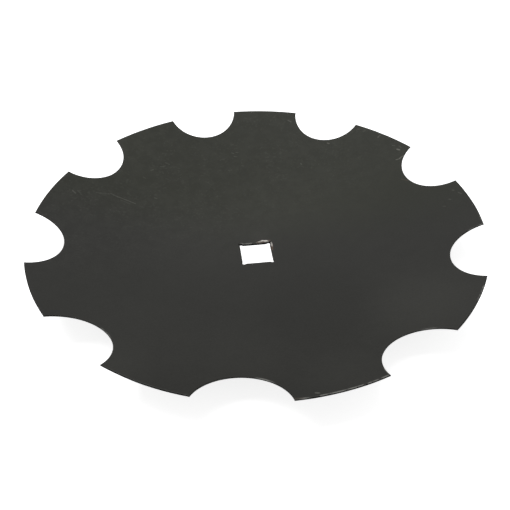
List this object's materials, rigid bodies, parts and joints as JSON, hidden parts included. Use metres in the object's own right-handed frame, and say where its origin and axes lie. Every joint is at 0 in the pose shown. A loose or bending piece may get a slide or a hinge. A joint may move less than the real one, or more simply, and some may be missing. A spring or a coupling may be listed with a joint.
{
  "type": "harrow disc blade",
  "caption": "Dished steel disc with a round-notched, bevelled rim and a square shaft hole, which cuts and turns soil.",
  "frame": {"origin": "on the turning axis, level with the lowest edge of the square shaft hole, on which the blade rests", "axes": "+Z along the turning axis, out of the concave side; the shaft hole's sides lie along X and Y; one notch is centred on -X"},
  "size_m": [0.4033, 0.4064, 0.0438],
  "materials": {
    "blade_paint": "satin black paint over steel, chipped and scuffed at the edges"
  },
  "bodies": {
    "root": {"disc_blade": "blade_paint"}
  },
  "joints": []
}
